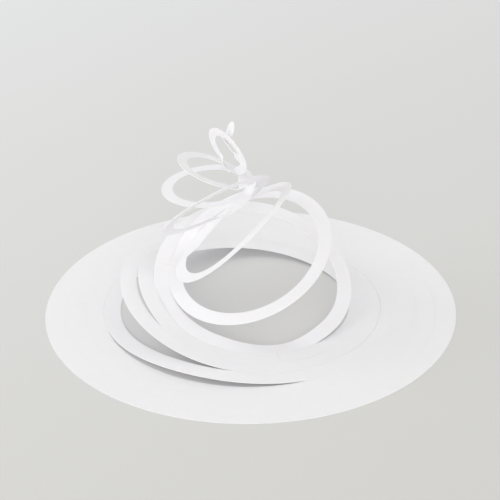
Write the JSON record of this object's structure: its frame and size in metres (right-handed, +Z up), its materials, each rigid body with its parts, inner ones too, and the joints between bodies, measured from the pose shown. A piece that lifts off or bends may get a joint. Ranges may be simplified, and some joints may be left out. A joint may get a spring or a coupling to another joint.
{
  "type": "paper wreath",
  "caption": "Cut-paper wreath: a flat round card rim whose inner rings, cut on concentric circles, are pulled up into a leaning stack of tilted loops, for table or hanging decoration.",
  "frame": {"origin": "centre of the flat rim's underside, on the table", "axes": "+Z up from the table, +X to the right and +Y to the back of the pictured view"},
  "size_m": [0.29, 0.29, 0.1382],
  "materials": {
    "card": "matte uncoated white card"
  },
  "bodies": {
    "root": {"paper_wreath": "card"}
  },
  "joints": []
}
